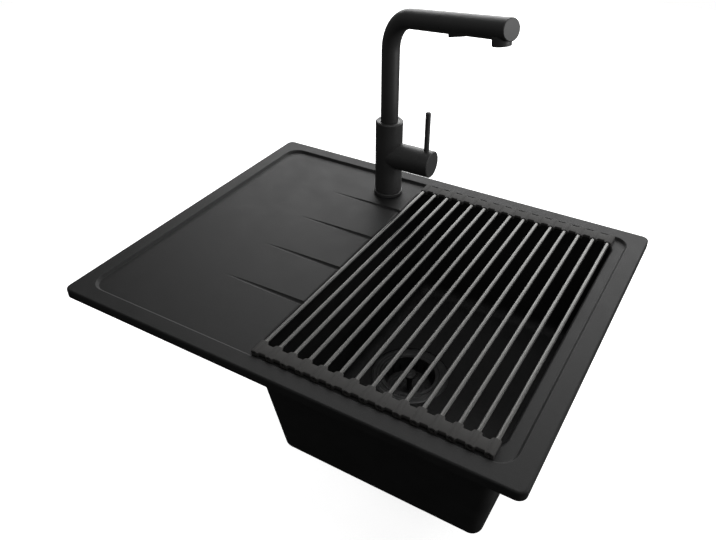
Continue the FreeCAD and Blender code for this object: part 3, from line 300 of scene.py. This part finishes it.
def bare_metal(name, colour, roughness, along, stretch=28.0):
    """Drawn or turned metal with fine marks that run along one axis."""
    material, tree, shader, place = new_material(name)
    scale = [stretch * MARKS_FINER] * 3
    scale["XYZ".index(along)] = stretch
    drawn = add(tree, "ShaderNodeMapping", {"Vector": place, "Scale": scale}).outputs[0]
    marks = add(tree, "ShaderNodeTexNoise", {"Vector": drawn, "Scale": 1.0, "Detail": 5.0}).outputs["Fac"]
    cloud = add(tree, "ShaderNodeTexNoise", {"Vector": place, "Scale": 30.0, "Detail": 3.0}).outputs["Fac"]
    base = add(tree, "ShaderNodeMix", {"Factor": cloud, "A": shade(colour, 0.8), "B": shade(colour, 1.0)},
               data_type="RGBA")
    bump = add(tree, "ShaderNodeBump", {"Height": marks, "Distance": 0.000002, "Strength": 0.3})
    rough = ramp(tree, marks, [(0.3, roughness - 0.04), (0.7, roughness + 0.05)])
    feed(tree, shader, {"Base Color": base.outputs["Result"], "Metallic": 1.0, "Roughness": rough,
                        "Normal": bump.outputs["Normal"]})
    return material


brass = bare_metal("turned_brass", (0.62, 0.44, 0.20), 0.30, "X")
steel = bare_metal("plain_steel", (0.50, 0.49, 0.47), 0.30, "Y")
for rubber_node in ("tap_base_seal", "shank_washer_rubber"):
    dress(rubber_node, black_rubber)
for brass_node in ("tap_shank", "shank_nut"):
    dress(brass_node, brass)
for steel_node in ("shank_washer_steel", "waste_bolt"):
    dress(steel_node, steel)

# ---------------------------------------------------------------- tap body and base ring
# The upright body is a brass casting, turned and coated matt black. It stands on a low ring that hides
# the tap hole, and carries the swivel bush for the spout in its open top.


def black_coating():
    """Matt black coating with an even, slightly pebbled skin."""
    material, tree, shader, place = new_material("matt_black_coating")
    cloud = add(tree, "ShaderNodeTexNoise", {"Vector": place, "Scale": 25.0, "Detail": 4.0}).outputs["Fac"]
    skin = add(tree, "ShaderNodeTexNoise", {"Vector": place, "Scale": 1800.0, "Detail": 2.0}).outputs["Fac"]
    bump = add(tree, "ShaderNodeBump", {"Height": skin, "Distance": 0.00004, "Strength": 0.35})
    feed(tree, shader, {"Base Color": ramp(tree, cloud, [(0.3, 0.022), (0.7, 0.028)]),
                        "Roughness": ramp(tree, cloud, [(0.3, 0.47), (0.7, 0.53)]),
                        "Normal": bump.outputs["Normal"]})
    return material


coating = black_coating()
for coated_node in ("tap_base_ring", "tap_body"):
    dress(coated_node, coating)
dress("swivel_bush", moulded("bearing_plastic_black", 0.03, 0.4))

# ---------------------------------------------------------------- spout
# One drawn tube, bent by a little less than a right angle and coated as the body is. Two rubber rings and
# a clip hold its foot in the body, and a plastic collar in its mouth catches the spray head.
bearing = moulded("bearing_plastic_white", 0.55, 0.35, tint=(1.0, 0.97, 0.9))
dress("spout_tube", coating)
dress("swivel_o_rings", black_rubber)
dress("spout_clip", steel)
dress("dock_collar", bearing)

# ---------------------------------------------------------------- spray head
# The pull-out head carries on the line of the spout. Its coated shell holds a braided hose in a spigot, a
# turned nozzle ring with a rubber spray face, and a rocker button of black plastic underneath.
ARM_START = Vector((-0.075, 0.183, 0.2778))
ARM_AZIMUTH = math.radians(-25.5)
ARM_RISE = math.radians(10.0)
ARM_LEVEL = Vector((math.cos(ARM_AZIMUTH), math.sin(ARM_AZIMUTH), 0.0))
UPRIGHT = Vector((0.0, 0.0, 1.0))
ARM_LINE = ARM_LEVEL * math.cos(ARM_RISE) + UPRIGHT * math.sin(ARM_RISE)
ARM_UP = UPRIGHT * math.cos(ARM_RISE) - ARM_LEVEL * math.sin(ARM_RISE)
HOSE_FROM = 0.0465
HOSE_TO = 0.093
HOSE_RADIUS = 0.00525
HOSE_RINGS = 160
FITTING_FROM = 0.092
FITTING_TO = 0.1015
FITTING_RADIUS = 0.0078
FITTING_RINGS = 4
TUBE_SIDES = 32
FACE_ALONG = 0.213
FACE_DROP = 0.018
JET_COUNT = 10
JET_CIRCLE = 0.00612
COLLAR_RADIUS = 0.00105
COLLAR_THICK = 0.00028
COLLAR_SIDES = 20
COLLAR_BEAD_SIDES = 10


def along_arm(length):
    """A point on the middle line of the arm."""
    return ARM_START + ARM_LINE * length


def new_group(name, sizes):
    """A geometry node group, its tree and its inputs, from (name, kind, default) rows."""
    tree = bpy.data.node_groups.new(name, "GeometryNodeTree")
    for size, kind, value in sizes:
        socket = tree.interface.new_socket(name=size, in_out="INPUT", socket_type="NodeSocket" + kind)
        if value is not None:
            socket.default_value = value
    tree.interface.new_socket(name="Geometry", in_out="OUTPUT", socket_type="NodeSocketGeometry")
    return tree, add(tree, "NodeGroupInput").outputs


def give_out(tree, shape, finish):
    """Make a group's instances real, give them their finish and hand them to the group's output."""
    real = add(tree, "GeometryNodeRealizeInstances", {"Geometry": shape})
    done = add(tree, "GeometryNodeSetMaterial", {"Geometry": real.outputs[0], "Material": finish})
    add(tree, "NodeGroupOutput", {"Geometry": done.outputs[0]})


def grown(name, tree, sizes):
    """A plain mesh object made by a node group with the given sizes."""
    seed = bpy.data.objects.new(name + "_seed", bpy.data.meshes.new(name + "_seed"))
    bpy.context.scene.collection.objects.link(seed)
    modifier = seed.modifiers.new("make", "NODES")
    modifier.node_group = tree
    for item in tree.interface.items_tree:
        if item.item_type == "SOCKET" and item.in_out == "INPUT" and item.name in sizes:
            modifier[item.identifier] = sizes[item.name]
    made = seed.evaluated_get(bpy.context.evaluated_depsgraph_get())
    mesh = bpy.data.meshes.new_from_object(made)
    mesh.name = name
    bpy.data.objects.remove(seed)
    piece = bpy.data.objects.new(name, mesh)
    bpy.context.scene.collection.objects.link(piece)
    return piece


def tube_tree():
    """Node group: a closed round tube from one point to another."""
    tree, given = new_group("tube_on_a_line", [
        ("From", "Vector", None), ("To", "Vector", None), ("Radius", "Float", HOSE_RADIUS),
        ("Rings", "Int", HOSE_RINGS), ("Finish", "Material", None)])
    line = add(tree, "GeometryNodeCurvePrimitiveLine", {"Start": given["From"], "End": given["To"]})
    cut = add(tree, "GeometryNodeResampleCurve", {"Curve": line.outputs[0], "Count": given["Rings"]})
    ring = add(tree, "GeometryNodeCurvePrimitiveCircle", {"Resolution": TUBE_SIDES,
                                                          "Radius": given["Radius"]})
    body = add(tree, "GeometryNodeCurveToMesh", {"Curve": cut.outputs[0], "Fill Caps": True,
                                                 "Profile Curve": ring.outputs["Curve"]})
    give_out(tree, body.outputs[0], given["Finish"])
    return tree


def collar_tree():
    """Node group: small round collars on a circle, laid on the spray face."""
    tree, given = new_group("collars_on_a_circle", [
        ("Count", "Int", JET_COUNT), ("Circle", "Float", JET_CIRCLE), ("Radius", "Float", COLLAR_RADIUS),
        ("Thickness", "Float", COLLAR_THICK), ("Place", "Vector", None), ("Turn", "Vector", None),
        ("Finish", "Material", None)])
    spots = add(tree, "GeometryNodeMeshCircle", {"Vertices": given["Count"], "Radius": given["Circle"]})
    line = add(tree, "GeometryNodeCurvePrimitiveCircle", {"Resolution": COLLAR_SIDES,
                                                          "Radius": given["Radius"]})
    bead = add(tree, "GeometryNodeCurvePrimitiveCircle", {"Resolution": COLLAR_BEAD_SIDES,
                                                          "Radius": given["Thickness"]})
    collar = add(tree, "GeometryNodeCurveToMesh", {"Curve": line.outputs["Curve"],
                                                   "Profile Curve": bead.outputs["Curve"]})
    laid = add(tree, "GeometryNodeInstanceOnPoints", {"Points": spots.outputs[0],
                                                      "Instance": collar.outputs[0]})
    turned = add(tree, "GeometryNodeTransform", {"Geometry": laid.outputs[0], "Translation": given["Place"],
                                                 "Rotation": given["Turn"]})
    give_out(tree, turned.outputs[0], given["Finish"])
    return tree


def hose_braid():
    """Grey braid: small pale crossings over darker gaps."""
    material, tree, shader, place = new_material("grey_braided_hose")
    weave = add(tree, "ShaderNodeTexVoronoi", {"Vector": place, "Scale": 850.0,
                                               "Randomness": 0.35}).outputs["Distance"]
    cloud = add(tree, "ShaderNodeTexNoise", {"Vector": place, "Scale": 120.0, "Detail": 3.0}).outputs["Fac"]
    bump = add(tree, "ShaderNodeBump", {"Height": weave, "Distance": 0.0003, "Strength": 0.6}, invert=True)
    feed(tree, shader, {"Base Color": ramp(tree, weave, [(0.05, 0.26), (0.5, 0.10)]),
                        "Roughness": ramp(tree, cloud, [(0.3, 0.42), (0.7, 0.55)]),
                        "Normal": bump.outputs["Normal"]})
    return material


def smooth(mesh, degrees):
    """Shade a mesh smooth, apart from edges sharper than an angle."""
    mesh.shade_smooth()
    mesh.set_sharp_from_angle(angle=math.radians(degrees))


face_rubber = moulded("grey_spray_rubber", 0.06, 0.55)
for coated_node in ("head_shell", "nozzle_ring"):
    dress(coated_node, coating)
dress("head_spigot", bearing)
dress("spray_button", moulded("black_button_plastic", 0.018, 0.45))
dress("spray_face", face_rubber)
tube_on_a_line = tube_tree()
hose = grown("hose_in_the_arm", tube_on_a_line, {
    "From": along_arm(HOSE_FROM), "To": along_arm(HOSE_TO), "Radius": HOSE_RADIUS, "Rings": HOSE_RINGS,
    "Finish": hose_braid()})
smooth(hose.data, 40)
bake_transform(hose)
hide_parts("spray_hose")
fitting = grown("hose_fitting", tube_on_a_line, {
    "From": along_arm(FITTING_FROM), "To": along_arm(FITTING_TO), "Radius": FITTING_RADIUS,
    "Rings": FITTING_RINGS, "Finish": brass})
smooth(fitting.data, 40)
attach(fitting, "spray_head")
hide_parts("spray_hose")
face_turn = Matrix((ARM_LINE, ARM_UP.cross(ARM_LINE), ARM_UP)).transposed().to_euler()
collars = grown("jet_collars", collar_tree(), {
    "Count": JET_COUNT, "Circle": JET_CIRCLE, "Radius": COLLAR_RADIUS, "Thickness": COLLAR_THICK,
    "Place": along_arm(FACE_ALONG) - ARM_UP * FACE_DROP, "Turn": Vector(face_turn), "Finish": face_rubber})
collars.data.shade_smooth()
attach(collars, "spray_head")

# ---------------------------------------------------------------- side valve and lever
# A ceramic cartridge sits in the side barrel under a domed nut. Its stem carries the round hub, held by
# a grub screw, and the hub carries the thin upright lever rod. What shows is coated black.
ceramic = moulded("white_ceramic", 0.78, 0.16, tint=(1.0, 0.99, 0.96))
housing_plastic = moulded("cartridge_plastic", 0.05, 0.4)
for coated_node in ("dome_nut", "lever_hub", "lever_rod"):
    dress(coated_node, coating)
for disc_node in ("fixed_disc", "moving_disc"):
    dress(disc_node, ceramic)
for inner_node in ("cartridge_housing", "cartridge_guide"):
    dress(inner_node, housing_plastic)
dress("cartridge_pin", steel)
dress("cartridge_stem", brass)

# ---------------------------------------------------------------- steel rods of the mat
# Fifteen drawn stainless rods lie across the bowl from strip to strip. They are brushed along their
# length, cut square with a small chamfer, and sit three millimetres inside the silicone.
ROD_COUNT = 15
FLAT_RODS = 5
ROD_RADIUS = 0.00275
ROD_CHAMFER = 0.00035
ROD_CHAMFER_REACH = 0.0004
ROD_RINGS = 61
ROD_SIDES = 28


def rod_middle(number):
    """Middle of a rod, counted from the left, as the frame has it."""
    low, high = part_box("mat_rod_%02d" % number)
    return (low + high) / 2


ROD_PITCH = rod_middle(2).x - rod_middle(1).x
ROD_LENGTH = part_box("mat_rod_01")[1].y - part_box("mat_rod_01")[0].y


def sum_node(tree, operation, *values):
    """The result of one sum on values or on other nodes' outputs."""
    return add(tree, "ShaderNodeMath", dict(enumerate(values)), operation=operation).outputs[0]


def rod_tree():
    """Node group: a row of rods along X, each one lying along Y, with chamfered ends."""
    tree, given = new_group("rods_in_a_row", [
        ("Count", "Int", 1), ("Pitch", "Float", ROD_PITCH), ("Radius", "Float", ROD_RADIUS),
        ("Length", "Float", ROD_LENGTH), ("First", "Vector", None), ("Finish", "Material", None)])
    step = add(tree, "ShaderNodeCombineXYZ", {"X": given["Pitch"]})
    row = add(tree, "GeometryNodeMeshLine", {"Count": given["Count"], "Start Location": given["First"],
                                             "Offset": step.outputs[0]})
    half = sum_node(tree, "MULTIPLY", given["Length"], 0.5)
    start = add(tree, "ShaderNodeCombineXYZ", {"Y": sum_node(tree, "MULTIPLY", half, -1.0)})
    end = add(tree, "ShaderNodeCombineXYZ", {"Y": half})
    line = add(tree, "GeometryNodeCurvePrimitiveLine", {"Start": start.outputs[0], "End": end.outputs[0]})
    cut = add(tree, "GeometryNodeResampleCurve", {"Curve": line.outputs[0], "Count": ROD_RINGS})
    gone = add(tree, "GeometryNodeSplineParameter").outputs["Length"]
    at_start = sum_node(tree, "LESS_THAN", gone, ROD_CHAMFER_REACH)
    at_end = sum_node(tree, "LESS_THAN", sum_node(tree, "SUBTRACT", given["Length"], gone), ROD_CHAMFER_REACH)
    at_either = sum_node(tree, "ADD", at_start, at_end)
    slim = sum_node(tree, "MULTIPLY_ADD", at_either, -ROD_CHAMFER, given["Radius"])
    sized = add(tree, "GeometryNodeSetCurveRadius", {"Curve": cut.outputs[0], "Radius": slim})
    ring = add(tree, "GeometryNodeCurvePrimitiveCircle", {"Resolution": ROD_SIDES, "Radius": 1.0})
    rod = add(tree, "GeometryNodeCurveToMesh", {"Curve": sized.outputs[0], "Scale": slim, "Fill Caps": True,
                                                "Profile Curve": ring.outputs["Curve"]})
    round_rod = add(tree, "GeometryNodeSetShadeSmooth", {"Geometry": rod.outputs[0]})
    laid = add(tree, "GeometryNodeInstanceOnPoints", {"Points": row.outputs[0],
                                                      "Instance": round_rod.outputs[0]})
    give_out(tree, laid.outputs[0], given["Finish"])
    return tree


brushed_steel = bare_metal("brushed_stainless_steel", (0.135, 0.134, 0.130), 0.40, "Y", stretch=24.0)
rods_in_a_row = rod_tree()
flat_rods = grown("rods_flat", rods_in_a_row, {
    "Count": FLAT_RODS, "First": rod_middle(1), "Finish": brushed_steel})
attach(flat_rods, "mat")
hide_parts(*["mat_rod_%02d" % n for n in range(1, FLAT_RODS + 1)])
for n in range(FLAT_RODS + 1, ROD_COUNT + 1):
    rod = grown("rod_%02d" % n, rods_in_a_row, {
        "Count": 1, "First": rod_middle(n), "Finish": brushed_steel})
    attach(rod, "mat_link_%02d" % n)
    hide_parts("mat_rod_%02d" % n)

# ---------------------------------------------------------------- silicone strips of the mat
# Along each end of the rods runs a strip of soft dark silicone, moulded round them. It is thick over each
# rod, thin and set back between them, so that it folds there, and its outer face shows the open bores.
STRIP_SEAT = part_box("mat_grips_flat")[0].z
STRIP_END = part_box("mat_grips_flat")[1].y
BOSS_HALF = 0.005
BOSS_WIDTH = 0.022
BOSS_HEIGHT = 0.0077
BOSS_CROWN_RADIUS = 0.00625
BORE_RADIUS = 0.00275
BORE_DEPTH = 0.0031
BORE_SIDES = 28
CUTTER_OVERRUN = 0.002
WEB_LOW = 0.002
WEB_HIGH = 0.0066
WEB_SET_BACK_OUTSIDE = 0.0019
WEB_SET_BACK_INSIDE = 0.004
WEB_BEGINS = 0.0043
WEB_BLEND = 0.0018
STRIP_CORNER = 0.0011
CORNER_STEPS = 5
STATION_STEP = 0.00045
STATIONS_LEAST = 8
END_ROUND = 0.001
END_ROUNDING = [(0.0, 0.0011), (0.00015, 0.0006), (0.0005, 0.0002)]


def strip_ring(x, inset, side):
    """Closed outline of the strip across Y and Z at x, with rounded corners, drawn in by an inset."""
    number = min(max(round((x - rod_middle(1).x) / ROD_PITCH) + 1, 1), ROD_COUNT)
    distance = abs(x - rod_middle(number).x)
    over_rod = math.sqrt(BOSS_CROWN_RADIUS ** 2 - min(distance, BOSS_HALF) ** 2)
    crown = BOSS_HEIGHT - BOSS_CROWN_RADIUS + over_rod
    fade = min(max((distance - WEB_BEGINS) / WEB_BLEND, 0.0), 1.0)
    fade = fade * fade * (3 - 2 * fade)
    y_out = STRIP_END - WEB_SET_BACK_OUTSIDE * fade - inset - STRIP_CORNER
    y_in = STRIP_END - BOSS_WIDTH + WEB_SET_BACK_INSIDE * fade + inset + STRIP_CORNER
    z_low = STRIP_SEAT + WEB_LOW * fade + inset + STRIP_CORNER
    z_high = STRIP_SEAT + max(crown, WEB_HIGH) - inset - STRIP_CORNER
    corner_centres = [(y_out, z_high), (y_in, z_high), (y_in, z_low), (y_out, z_low)]
    ring = []
    for quarter, (centre_y, centre_z) in enumerate(corner_centres):
        for step in range(CORNER_STEPS + 1):
            angle = math.radians(90 * (quarter + step / CORNER_STEPS))
            y = centre_y + STRIP_CORNER * math.cos(angle)
            ring.append((x, side * y, centre_z + STRIP_CORNER * math.sin(angle)))
    return ring


def closed_skin(rings):
    """Points and faces of a closed skin over a row of like rings."""
    sides = len(rings[0])
    faces = []
    for i in range(len(rings) - 1):
        for k in range(sides):
            after = (k + 1) % sides
            faces.append((i * sides + k, i * sides + after, (i + 1) * sides + after, (i + 1) * sides + k))
    faces.append(tuple(range(sides)))
    faces.append(tuple((len(rings) - 1) * sides + k for k in range(sides)))
    return [point for ring in rings for point in ring], faces


def strip_bores(numbers, side):
    """The open bores in the outer face, as one cutting mesh."""
    points = []
    faces = []
    for number in numbers:
        middle = rod_middle(number)
        rings = []
        for y in (STRIP_END - BORE_DEPTH, STRIP_END + CUTTER_OVERRUN):
            angles = [2 * math.pi * k / BORE_SIDES for k in range(BORE_SIDES)]
            rings.append([(middle.x + BORE_RADIUS * math.cos(angle), side * y,
                           middle.z + BORE_RADIUS * math.sin(angle)) for angle in angles])
        bore_points, bore_faces = closed_skin(rings)
        faces += [tuple(len(points) + k for k in face) for face in bore_faces]
        points += bore_points
    return points, faces


def solid_object(name, points, faces):
    """A closed mesh object whose faces point outwards."""
    mesh = bpy.data.meshes.new(name)
    mesh.from_pydata(points, [], faces)
    shape = bmesh.new()
    shape.from_mesh(mesh)
    bmesh.ops.recalc_face_normals(shape, faces=shape.faces)
    shape.to_mesh(mesh)
    shape.free()
    piece = bpy.data.objects.new(name, mesh)
    bpy.context.scene.collection.objects.link(piece)
    return piece


def strip_piece(name, x_start, x_end, side, numbers, material):
    """The strip from one x to another. At a free end of the mat its edge is rounded."""
    count = max(STATIONS_LEAST, round((x_end - x_start) / STATION_STEP))
    stations = [(x_start + (x_end - x_start) * i / count, 0.0) for i in range(count + 1)]
    if x_start < rod_middle(1).x:
        rounded = [(x_start + reach, inset) for reach, inset in END_ROUNDING]
        stations = rounded + [station for station in stations if station[0] > x_start + END_ROUND]
    if x_end > rod_middle(ROD_COUNT).x:
        rounded = [(x_end - reach, inset) for reach, inset in reversed(END_ROUNDING)]
        stations = [station for station in stations if station[0] < x_end - END_ROUND] + rounded
    blank = solid_object(name + "_blank", *closed_skin([strip_ring(x, inset, side) for x, inset in stations]))
    cutter = solid_object(name + "_cutter", *strip_bores(numbers, side))
    cut = blank.modifiers.new("bores", "BOOLEAN")
    cut.operation = "DIFFERENCE"
    cut.solver = "EXACT"
    cut.object = cutter
    made = blank.evaluated_get(bpy.context.evaluated_depsgraph_get())
    mesh = bpy.data.meshes.new_from_object(made)
    mesh.name = name
    bpy.data.objects.remove(blank)
    bpy.data.objects.remove(cutter)
    mesh.materials.clear()
    mesh.materials.append(material)
    smooth(mesh, 42)
    piece = bpy.data.objects.new(name, mesh)
    bpy.context.scene.collection.objects.link(piece)
    return piece


silicone = moulded("dark_grey_silicone", 0.032, 0.68, tint=(1.0, 0.97, 0.93), grain=600.0, specular=0.22)
for side, end in ((-1, "front"), (1, "back")):
    left = rod_middle(1).x - BOSS_HALF
    flat = strip_piece("strip_%s_flat" % end, left, rod_middle(FLAT_RODS).x, side, range(1, FLAT_RODS + 1),
                       silicone)
    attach(flat, "mat")
    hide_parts("mat_grips_flat")
    for n in range(FLAT_RODS, ROD_COUNT):
        start = rod_middle(n)
        stop = rod_middle(n + 1)
        fold = strip_piece("strip_%s_%02d" % (end, n + 1), start.x, stop.x, side, (n, n + 1), silicone)
        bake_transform(fold)
        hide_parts("mat_grips_%02d" % (n + 1))
    last = rod_middle(ROD_COUNT).x
    tail = strip_piece("strip_%s_end" % end, last, last + BOSS_HALF, side, (ROD_COUNT,), silicone)
    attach(tail, "mat_link_%02d" % ROD_COUNT)
